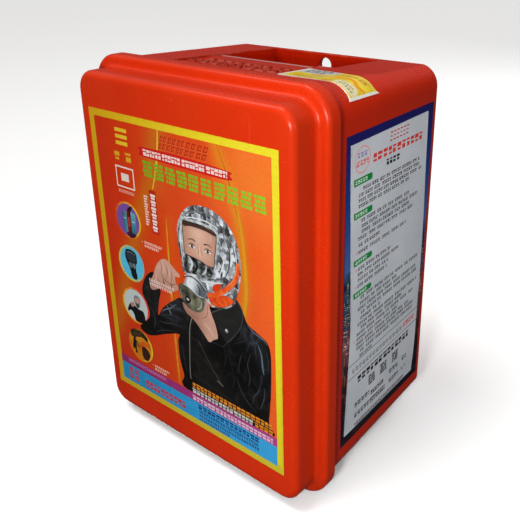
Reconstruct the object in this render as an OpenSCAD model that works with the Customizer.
// Storage case of a filter-type smoke hood, with the packed hood inside.
// Millimetres. X to the right, Y to the back, Z up.
// Origin: centre of the bounding box in X and Y, lowest point in Z.

/* [Case] */
// overall height of the case, lid flange included
case_h = 188; // [170:1:205]
// overall depth, front panel to back wall
case_d = 106; // [95:1:120]
// width over the lid flange
lid_w = 136.4; // [124:0.2:150]
// width of the raised front panel
panel_w = 125.6; // [112:0.2:140]
// distance from the front panel to the flange's front face
flange_front = 13.9; // [10:0.1:18]
// distance from the front panel to the flange's rear edge
flange_rear = 21.3; // [17:0.1:26]
// corner radius of the raised front panel
panel_r = 9; // [6:0.5:12]
// edge radius of the raised front panel
panel_edge_r = 3; // [2:0.5:4]
// wall thickness of lid and body
wall = 2; // [1.6:0.1:2.5]
// wall thickness of the lid skirt
skirt_wall = 1.5; // [1.2:0.1:1.8]
// half width of the body at its front
body_hw = 66.2; // [60:0.1:72]
// top of the body at its front
body_top = 185.8; // [180:0.1:187]
// bottom of the body at its front
body_bottom = 7.4; // [5:0.1:10]
// where the body starts behind the front panel
body_front = 23.5; // [22:0.1:28]
// draft angle of the body walls
draft = 2.4; // [1:0.1:3]
// top corner radius of the body at its front
body_rt = 13.2; // [10:0.1:16]
// bottom corner radius of the body at its front
body_rb = 8; // [7.6:0.1:10]

/* [Hanging recess] */
// half width of the recess behind the shelf
recess_hw = 32.7; // [25:0.1:40]
// where the recess starts behind the front panel
recess_y = 64; // [55:0.5:70]
// height of the recess floor
recess_floor = 165; // [155:1:172]
// thickness of the upright back wall at the hanging hole
hang_wall = 2.5; // [2:0.1:3.5]
// radius of the hanging hole
hang_r = 3.75; // [3:0.05:5]
// height of the hanging hole's centre
hang_z = 176.2; // [172:0.1:178]
// depth of the sunk panel on the shelf
shelf_sink = 0.9; // [0.5:0.1:1.2]

/* [Labels] */
// label thickness
label_t = 0.16; // [0.1:0.02:0.3]
// width of the front label
front_label_w = 112; // [100:0.5:116]
// height of the front label
front_label_h = 147; // [130:0.5:160]
// lower edge of the front label
front_label_z = 19.4; // [15:0.1:25]

/* [Sealed pack] */
// half width of the foil pack
pack_hw = 57; // [50:0.5:58]
// lower edge of the foil pack
pack_z0 = 17; // [16.5:0.5:20]
// upper edge of the foil pack
pack_z1 = 156; // [150:0.5:157]
// front face of the foil pack
pack_y0 = -46; // [-46.5:0.5:-44]
// rear face of the foil pack
pack_y1 = 46; // [44:0.5:47]
// foil thickness
foil_t = 0.4; // [0.3:0.05:0.6]

/* [Canister] */
// outer radius of the canister
can_r = 41; // [38:0.5:41.5]
// lower end of the canister
can_z0 = 34; // [33:0.5:36]
// top plate of the canister
can_z1 = 90; // [86:0.5:92]
// sheet thickness of the canister
can_t = 0.8; // [0.5:0.1:1]
// radius of the inlet opening
inlet_r = 13; // [10:0.5:16]
// radius of the outlet opening
outlet_r = 17; // [14:0.5:18]

/* [Mask] */
// height of the exhalation valve's axis
exhale_z = 115; // [113:0.5:117]

/* [Hidden] */

$fn = 64;
y0 = -case_d / 2 + (label_t + 0.01) / 2;
td = tan(draft);
bf = y0 + body_front;
red = [0.80, 0.10, 0.05];
foil = [0.80, 0.81, 0.83];
eps = 0.02;

// Rounds to a thousandth, so that shapes built apart meet exactly.
function q(v) = round(v * 1000) / 1000;

// ---------- shared shapes ----------

// Sweeps a half profile (x = distance out from the corner axis, y = depth)
// round a rectangle with round corners; the middle is filled from d0 to d1.
module frame_sweep(hw, z0, z1, r, d0, d1) {
  for (sx = [0, 1]) mirror([sx, 0, 0]) {
    translate([hw - r, 0, z0 + r]) linear_extrude(height = z1 - z0 - 2 * r) children();
    translate([hw - r, 0, z0 + r]) rotate([-90, 0, 0]) rotate_extrude(angle = 90) children();
    translate([hw - r, 0, z1 - r]) mirror([0, 0, 1]) rotate([-90, 0, 0]) rotate_extrude(angle = 90) children();
  }
  translate([hw - r, 0, z1 - r]) rotate([0, -90, 0]) linear_extrude(height = 2 * (hw - r)) children();
  translate([hw - r, 0, z0 + r]) mirror([0, 0, 1]) rotate([0, -90, 0]) linear_extrude(height = 2 * (hw - r)) children();
  if (d1 > d0)
    translate([-(hw - r), d0, z0 + r]) cube([2 * (hw - r), d1 - d0, z1 - z0 - 2 * r]);
}

// Square with one rounded corner, at the low-depth outer end.
module nose(w, d0, d1, r) {
  translate([0, d0]) square([w - r, d1 - d0]);
  translate([0, d0 + r]) square([w, d1 - d0 - r]);
  translate([w - r, d0 + r]) circle(r);
}

// Square with one rounded corner, at the high-depth outer end.
module tail(w, d0, d1, r) {
  translate([0, d0]) square([w - r, d1 - d0]);
  translate([0, d0]) square([w, d1 - d0 - r]);
  translate([w - r, d1 - r]) circle(r);
}

// Drafted wall section: outer edge at w, leaning in by the draft angle, with a
// rounded rear edge. Used for the body's sides and its conical corners.
module drafted(w, len, r) {
  yc = len - r;
  xc = yc * td + r / cos(draft);
  polygon(concat([[0, 0], [w, 0]],
                 [for (i = [0:5]) let (a = draft + (90 - draft) * i / 5)
                    [w - q(xc - r * cos(a)), q(yc + r * sin(a))]],
                 [[0, len]]));
}

// Solid drafted box with conical corners: the outer or inner form of the body.
module drafted_box(inset, len, rr) {
  hw = body_hw - inset;
  zt = body_top - inset;
  zb = body_bottom + inset;
  rt = body_rt - inset;
  rb = body_rb - inset;
  translate([0, bf, 0]) {
    for (sx = [0, 1]) mirror([sx, 0, 0]) {
      translate([0, 0, zb + rb]) linear_extrude(height = zt - rt - zb - rb) drafted(hw, len, rr);
      translate([hw - rt, 0, zt - rt]) mirror([0, 0, 1]) rotate([-90, 0, 0])
        rotate_extrude(angle = 90) drafted(rt, len, rr);
      translate([hw - rb, 0, zb + rb]) rotate([-90, 0, 0])
        rotate_extrude(angle = 90) drafted(rb, len, rr);
    }
    translate([hw - rt, 0, zt - rt - 10]) rotate([0, -90, 0])
      linear_extrude(height = 2 * (hw - rt)) drafted(rt + 10, len, rr);
    translate([hw - rb, 0, zb + rb + 10]) mirror([0, 0, 1]) rotate([0, -90, 0])
      linear_extrude(height = 2 * (hw - rb)) drafted(rb + 10, len, rr);
  }
}

// Tube with its axis along Z.
module tube(r0, r1, z0, z1) {
  translate([0, 0, z0]) difference() {
    cylinder(r = r1, h = z1 - z0);
    translate([0, 0, -1]) cylinder(r = r0, h = z1 - z0 + 2);
  }
}

// Part of a tube, between two angles about Z (0 is +X, counted anticlockwise).
module arc_band(r0, r1, z0, z1, a0, a1) {
  translate([0, 0, z0]) rotate([0, 0, a0])
    rotate_extrude(angle = a1 - a0) translate([r0, 0]) square([r1 - r0, z1 - z0]);
}

// ---------- case ----------

// Body: drafted box open to the front, a neck that the lid skirt covers, a
// shelf on top with raised marks, and a recess with an upright hanging wall.
module case_body() {
  len = case_d - body_front;
  color(red) difference() {
    union() {
      difference() {
        drafted_box(0, len, 1.8);
        difference() {
          translate([0, -eps, 0]) drafted_box(wall, len - wall, 1);
          // walls and floor of the hanging recess stay
          translate([-recess_hw - wall, y0 + recess_y - wall, recess_floor - wall])
            cube([2 * (recess_hw + wall), 100, 60]);
        }
      }
      // front ring and neck
      translate([0, bf - 2, 0]) difference() {
        frame_sweep(65.2, 3, 185, 11.4, 0, 2) square([11.4, 2]);
        translate([-56, -5, body_bottom + wall]) cube([112, 12, 173]);
        translate([-63.2, -5, 18]) cube([126.4, 12, 152]);
      }
      translate([0, y0 + flange_front + 2, 0])
        frame_sweep(65.2, 3, 185, 11.4, 0, 0) translate([9.4, 0]) square([2, body_front - flange_front - 3]);
    }
    // hanging recess
    translate([-recess_hw, y0 + recess_y, recess_floor])
      cube([2 * recess_hw, case_d - recess_y - hang_wall, 60]);
    // shoulders beside the recess sit a little lower than the front shelf
    translate([-80, y0 + recess_y, body_top - (recess_y - body_front) * td - 0.4])
      rotate([-draft, 0, 0]) cube([160, 60, 10]);
    // sunk panel on the shelf
    translate([-recess_hw, bf + 4.5, body_top - 4.5 * td - shelf_sink])
      rotate([-draft, 0, 0]) cube([recess_hw + 26.5, 50, 10]);
    // hanging hole
    translate([0, y0 + case_d - 10, hang_z]) rotate([-90, 0, 0]) cylinder(r = hang_r, h = 20);
  }
  // raised marks on the sunk panel, three plain rows
  color(red) translate([0, bf + 4.5, body_top - 4.5 * td - shelf_sink - 0.1]) rotate([-draft, 0, 0]) {
    for (i = [0:10]) translate([-29.5 + i * 4.9, 3.2, 0]) cube([3.4, 1.8, 0.75]);
    for (i = [0:7]) translate([-29.5 + i * 6.8, 9.6, 0]) {
      cube([4.9, 1.1, 0.75]);
      translate([0, 4.2, 0]) cube([4.9, 1.1, 0.75]);
      translate([(i % 3) * 1.8, 0, 0]) cube([1.1, 5.3, 0.75]);
    }
    for (i = [0:8]) translate([-26 + i * 5.6, 19.2, 0]) cube([3.8 + (i % 2) * 0.8, 1.8, 0.75]);
  }
}

// Pull-off lid: raised panel, stepped back to a wider skirt that covers the neck.
module lid_cover() {
  color(red) translate([0, y0, 0]) difference() {
    union() {
      frame_sweep(panel_w / 2, (lid_w - panel_w) / 2, case_h - (lid_w - panel_w) / 2, panel_r, 0, wall)
        difference() {
          union() {
            nose(panel_r, 0, flange_front + 1.7, panel_edge_r);
            difference() {
              nose(panel_r + (lid_w - panel_w) / 2, flange_front, flange_rear - 2, 2.2);
              square([1, 60]);
            }
            tail(panel_r + (lid_w - panel_w) / 2, flange_front + 3, flange_rear, 0.6);
            difference() {
              translate([panel_r - 0.5, flange_front - 1.8]) square([2.3, 2.3]);
              translate([panel_r + 1.8, flange_front - 1.8]) circle(1.8);
            }
          }
          nose_cut();
        }
    }
  }
}

// Inside of the lid's half profile.
module nose_cut() {
  difference() {
    translate([-1, wall]) square([panel_r - wall + 1, 60]);
    difference() {
      translate([panel_r - wall - 1.5, wall - 1]) square([3, 2.5]);
      translate([panel_r - wall - 1.5, wall + 1.5]) circle(1.5);
    }
  }
  translate([-1, flange_front + 1.7]) square([panel_r + (lid_w - panel_w) / 2 - skirt_wall + 1, 60]);
}

// Printed sheet on the front panel.
module front_label() {
  color([0.93, 0.35, 0.10])
    translate([-front_label_w / 2, y0 - label_t - 0.01, front_label_z])
      cube([front_label_w, label_t, front_label_h]);
}

// Printed sheet on the right side wall.
module side_label() {
  color([0.16, 0.19, 0.45])
    translate([body_hw, bf, 0]) rotate([0, 0, draft])
      translate([0.01, 4.3, 20.4]) cube([label_t, 74, 146.1]);
}

// Sticker from the shelf over the right-hand top corner.
module corner_sticker() {
  color([0.90, 0.82, 0.20])
    translate([body_hw - body_rt, bf, body_top - body_rt]) {
      mirror([0, 0, 1]) rotate([-90, 0, 0]) rotate([0, 0, 30]) rotate_extrude(angle = 60)
        sticker_section(body_rt);
      rotate([0, -90, 0]) linear_extrude(height = 24.5)
        polygon([[body_rt + 0.01 - 8.5 * td, 8.5], [body_rt + 0.03 + label_t - 8.5 * td, 8.5],
                 [body_rt + 0.03 + label_t - 30.3 * td, 30.3], [body_rt + 0.01 - 30.3 * td, 30.3]]);
    }
}

// Thin layer that follows the drafted wall.
module sticker_section(w) {
  polygon([[w + 0.02 - q(8.6 * td), 8.6], [w + 0.02 + label_t - q(8.6 * td), 8.6],
           [w + 0.02 + label_t - q(30.2 * td), 30.2], [w + 0.02 - q(30.2 * td), 30.2]]);
}

// Folded instruction leaflet between lid and pack.
module leaflet() {
  color([0.95, 0.95, 0.92]) {
    translate([-46, -48.6, 34]) cube([92, 0.35, 118]);
    translate([-46, -48.25, 34]) cube([0.9, 0.5, 118]);
    translate([-46, -47.75, 34]) cube([91.2, 0.35, 118]);
    translate([44.3, -47.4, 34]) cube([0.9, 0.5, 118]);
    translate([-45.2, -46.9, 34]) cube([90.4, 0.35, 118]);
  }
}

// ---------- sealed pack ----------

// One half of the foil pack: a rounded tray with a sealed rim.
module tray(depth) {
  difference() {
    union() {
      frame_sweep(pack_hw, pack_z0, pack_z1, 20, 0, depth) nose(20, 0, depth, 9.5);
      frame_sweep(pack_hw + 4.2, pack_z0 - 4.2, pack_z1 + 4.2, 24.2, depth - foil_t, depth)
        translate([0, depth - foil_t]) square([24.2, foil_t]);
    }
    frame_sweep(pack_hw - foil_t, pack_z0 + foil_t, pack_z1 - foil_t, 20 - foil_t, foil_t, depth + 1)
      nose(20 - foil_t, foil_t, depth + 1, 9.5 - foil_t);
  }
}

// Front sheet of the foil pack.
module pouch_front() {
  color(foil) translate([0, pack_y0, 0]) tray(44);
}

// Rear sheet of the foil pack.
module pouch_back() {
  color(foil) translate([0, pack_y1, 0]) mirror([0, 1, 0]) tray(48 - 0.02);
}

// ---------- hood ----------

// Crown of the hood, folded to and fro over the mask.
module hood_crown() {
  color([0.74, 0.75, 0.77]) intersection() {
    translate([0, 0, 130]) cylinder(r = 42.6, h = 30);
    translate([-41, 0, 133]) rotate([90, 0, 90]) linear_extrude(height = 82) {
      for (i = [0:3]) translate([-34, i * 5]) square([68, 4.6]);
      for (i = [0, 2]) translate([34, i * 5 + 4.8]) difference() {
        circle(4.8);
        translate([-10, -10]) square([10, 20]);
      }
      translate([-34, 9.8]) difference() {
        circle(4.8);
        translate([0, -10]) square([10, 20]);
      }
    }
  }
}

// Skirt of the hood, coiled below the canister and folded up at both sides.
module hood_skirt() {
  color([0.72, 0.73, 0.75]) {
    tube(21, 41.5, 20, 31.5);
    for (s = [0, 1]) mirror([s, 0, 0]) {
      translate([45, -33, 26]) cube([3.4, 66, 100]);
      translate([48.2, -33, 26]) cube([0.6, 66, 4]);
      translate([48.8, -33, 26]) cube([3.4, 66, 100]);
      translate([52.0, -33, 122]) cube([0.6, 66, 4]);
      translate([52.6, -33, 36]) cube([3, 66, 90]);
    }
    for (s = [0, 1]) mirror([s, 0, 0]) translate([38, -20, 24]) cube([8, 40, 6]);
  }
}

// Clear window of the hood, curved round the mask.
module visor() {
  color([0.85, 0.92, 0.95, 0.35]) arc_band(43.3, 43.8, 98, 146.5, 188, 352);
}

// Bonded tape round the edge of the window.
module visor_tape() {
  color([0.62, 0.63, 0.66]) difference() {
    arc_band(43.85, 44.5, 95.5, 149, 184, 356);
    arc_band(40, 50, 102, 142.5, 193, 347);
  }
}

// Elastic collar that closes the hood at the neck.
module neck_elastic() {
  color([0.12, 0.12, 0.13]) tube(26, 35, 31.8, 33.6);
}

// Half mask: rubber cup with a turned-in lip, seated on the canister outlet.
module half_mask() {
  color([0.13, 0.13, 0.14]) difference() {
    rotate_extrude() difference() {
      polygon([[22.6, 97.4], [30, 97.4], [33.5, 103], [36.5, 114], [38.4, 126], [38.4, 131],
               [31, 131.6], [30.4, 129.9], [36.2, 129], [36.2, 126.4], [34.4, 114.5],
               [31.6, 104], [28.8, 99.4], [22.6, 99.4]]);
      translate([38.4, 131.6]) circle(0.4);
    }
    // nose notch
    translate([0, 47, 134]) rotate([90, 0, 0]) cylinder(r = 13, h = 30);
    // exhalation port
    translate([0, -20, exhale_z]) rotate([90, 0, 0]) {
      cylinder(r = 11.1, h = 30);
      cylinder(r = 12.7, h = 11.05);
      translate([0, 0, 14.25]) cylinder(r = 12.7, h = 20);
    }
  }
  color([0.13, 0.13, 0.14]) for (s = [0, 1]) mirror([s, 0, 0])
    intersection() {
      translate([30, -9, 107]) cube([9, 10, 6]);
      tube(33.6, 39.3, 100, 120);
    }
}

// Clamp ring that holds mask and hood on the canister outlet.
module mask_clamp() {
  color([0.20, 0.21, 0.22]) {
    tube(21.2, 29, 92.2, 94.6);
    tube(21.2, 24.5, 94.6, 97.2);
    for (a = [0:30:330]) rotate([0, 0, a]) translate([28.6, -1.5, 92.2]) cube([1.6, 3, 2.4]);
  }
}

// Seat of the exhalation valve.
module exhale_seat() {
  color([0.85, 0.85, 0.83]) translate([0, 0, exhale_z]) rotate([90, 0, 0]) {
    tube(9, 11, 29.5, 38.2);
    tube(11, 12.6, 29.5, 31);
    difference() {
      translate([0, 0, 35.2]) cylinder(r = 9.2, h = 1.4);
      for (a = [0:60:300]) rotate([0, 0, a]) translate([5.4, 0, 30]) cylinder(r = 1.9, h = 12);
    }
    cylinder_pin(1.2, 36, 37.9);
  }
}

// Short pin on the valve axis.
module cylinder_pin(r, a, b) { translate([0, 0, a]) cylinder(r = r, h = b - a); }

// Flap of the exhalation valve.
module exhale_flap() {
  color([0.88, 0.66, 0.50]) translate([0, 0, exhale_z]) rotate([90, 0, 0]) tube(1.26, 8.7, 36.65, 37.25);
}

// Slotted cover of the exhalation valve.
module exhale_cover() {
  color([0.15, 0.15, 0.16]) translate([0, 0, exhale_z]) rotate([90, 0, 0]) difference() {
    union() {
      tube(11.1, 12.6, 34.3, 39.4);
      translate([0, 0, 39.3]) cylinder(r = 12.6, h = 1.2);
    }
    for (x = [-7.5, -2.5, 2.5, 7.5]) translate([x - 0.9, -6, 38]) cube([1.8, 12, 5]);
  }
}

// Elastic head strap round the back of the mask.
module head_strap() {
  color([0.93, 0.27, 0.08]) {
    arc_band(40.6, 41.8, 106, 114, -5, 185);
    arc_band(39.4, 42.5, 105, 115, -9, -4);
    arc_band(39.4, 42.5, 105, 115, 184, 189);
  }
}

// Strap slider: a small frame that runs along the strap.
module slider(a) {
  color([0.10, 0.10, 0.11]) difference() {
    arc_band(39.6, 42.9, 104, 116, a, a + 12);
    arc_band(40.5, 41.9, 105.8, 114.2, a - 2, a + 14);
    arc_band(41, 45, 107, 113, a + 2.6, a + 5.2);
    arc_band(41, 45, 107, 113, a + 6.8, a + 9.4);
  }
}
module slider_left() { slider(150); }
module slider_right() { slider(18); }

// ---------- canister ----------

// Drawn shell with the outlet neck.
module canister_shell() {
  color([0.70, 0.71, 0.73]) {
    tube(can_r - can_t, can_r, can_z0 + 1.6, can_z1 - 3);
    rotate_extrude() difference() {
      translate([0, can_z1 - 6]) {
        square([can_r - 5, 6]);
        square([can_r, 1]);
        intersection() {
          translate([can_r - 5, 1]) circle(5);
          square([can_r, 8]);
        }
      }
      translate([-1, can_z1 - 8]) square([can_r - 4, 7.2]);
      intersection() {
        translate([can_r - 5, can_z1 - 5]) circle(4.2);
        translate([0, can_z1 - 5]) square([60, 10]);
      }
      translate([-1, can_z1 - 8]) square([can_r - can_t + 1, 3]);
      translate([-1, can_z1 - 8]) square([outlet_r + 1, 12]);
    }
    tube(outlet_r, 20.9, can_z1 - 0.8, 97.8);
    for (z = [48, 76]) rotate_extrude() translate([can_r - 0.1, z]) intersection() {
      circle(0.9);
      translate([-0.3, -2]) square([4, 4]);
    }
  }
}

// Crimped base with the inlet and its ring of air slots.
module canister_base() {
  color([0.16, 0.17, 0.18]) difference() {
    union() {
      translate([0, 0, can_z0]) cylinder(r = can_r + 1, h = 1.4);
      tube(can_r + 0.15, can_r + 1, can_z0, can_z0 + 7);
    }
    translate([0, 0, can_z0 - 1]) cylinder(r = inlet_r, h = 4);
    for (a = [0:20:340]) rotate([0, 0, a]) translate([19, -1.3, can_z0 - 1]) cube([16, 2.6, 4]);
  }
}

// Felt pad behind the inlet.
module prefilter_pad() {
  color([0.90, 0.90, 0.86]) translate([0, 0, 39]) cylinder(r = 39.6, h = 3.6);
}

// Pleated particle filter.
module particulate_filter() {
  color([0.96, 0.95, 0.90]) intersection() {
    translate([0, 0, 43]) cylinder(r = 39.6, h = 12);
    translate([0, 40, 43]) rotate([90, 0, 0]) linear_extrude(height = 80)
      for (i = [-8:7]) translate([i * 5, 0])
        polygon([[0, 0], [1.2, 0], [2.5, 8.8], [3.8, 0], [5.02, 0], [3.2, 12], [1.8, 12]]);
  }
}

// Perforated disc.
module screen(z) {
  difference() {
    translate([0, 0, z]) cylinder(r = 39.6, h = 0.6);
    for (q = [[8, 6], [16, 12], [24, 18], [32, 24]])
      for (i = [0:q[1] - 1]) rotate([0, 0, i * 360 / q[1]])
        translate([q[0], 0, z - 1]) cylinder(r = 1.9, h = 3);
  }
}
module lower_screen() { color([0.75, 0.76, 0.78]) screen(55.4); }
module upper_screen() { color([0.75, 0.76, 0.78]) screen(80.6); }

// Bed of carbon and catalyst grains.
module catalyst_bed() {
  color([0.10, 0.09, 0.09]) translate([0, 0, 56.2]) cylinder(r = 39.6, h = 24.2);
}

// Seat of the inhalation valve, under the top plate.
module inhale_seat() {
  color([0.85, 0.85, 0.83]) {
    tube(19.5, 22.5, 83, can_z1 - 0.85);
    difference() {
      translate([0, 0, 83]) cylinder(r = 19.7, h = 1.5);
      for (a = [0:45:315]) rotate([0, 0, a]) translate([9.5, 0, 80]) cylinder(r = 2.9, h = 8);
    }
    translate([0, 0, 84]) cylinder(r = 1.5, h = 4);
  }
}

// Flap of the inhalation valve.
module inhale_flap() { color([0.88, 0.66, 0.50]) tube(1.56, 14.5, 84.55, 85.25); }

// Bung with a pull ring, in the inlet.
module inlet_plug() {
  color([0.78, 0.08, 0.06]) {
    translate([0, 0, 33.6]) cylinder(r = inlet_r - 0.05, h = 4.6);
    translate([0, 0, 31.4]) cylinder(r = inlet_r + 2.6, h = 2.4);
    difference() {
      translate([-6, -1, 26.6]) cube([12, 2, 5]);
      translate([0, 3, 29.2]) rotate([90, 0, 0]) cylinder(r = 1.7, h = 6);
    }
  }
}

// Bung with a pull ring, in the outlet.
module outlet_plug() {
  color([0.78, 0.08, 0.06]) {
    translate([0, 0, 91.5]) cylinder(r = outlet_r - 0.05, h = 6.6);
    translate([0, 0, 97.9]) cylinder(r = outlet_r + 2.8, h = 2.4);
    difference() {
      translate([-7, -1, 100]) cube([14, 2, 6]);
      translate([0, 3, 103]) rotate([90, 0, 0]) cylinder(r = 2, h = 6);
    }
  }
}

case_body();
lid_cover();
front_label();
side_label();
corner_sticker();
leaflet();
pouch_front();
pouch_back();
hood_crown();
hood_skirt();
visor();
visor_tape();
neck_elastic();
half_mask();
mask_clamp();
exhale_seat();
exhale_flap();
exhale_cover();
canister_shell();
canister_base();
prefilter_pad();
particulate_filter();
lower_screen();
catalyst_bed();
upper_screen();
inhale_seat();
inhale_flap();
inlet_plug();
outlet_plug();
head_strap();
slider_left();
slider_right();
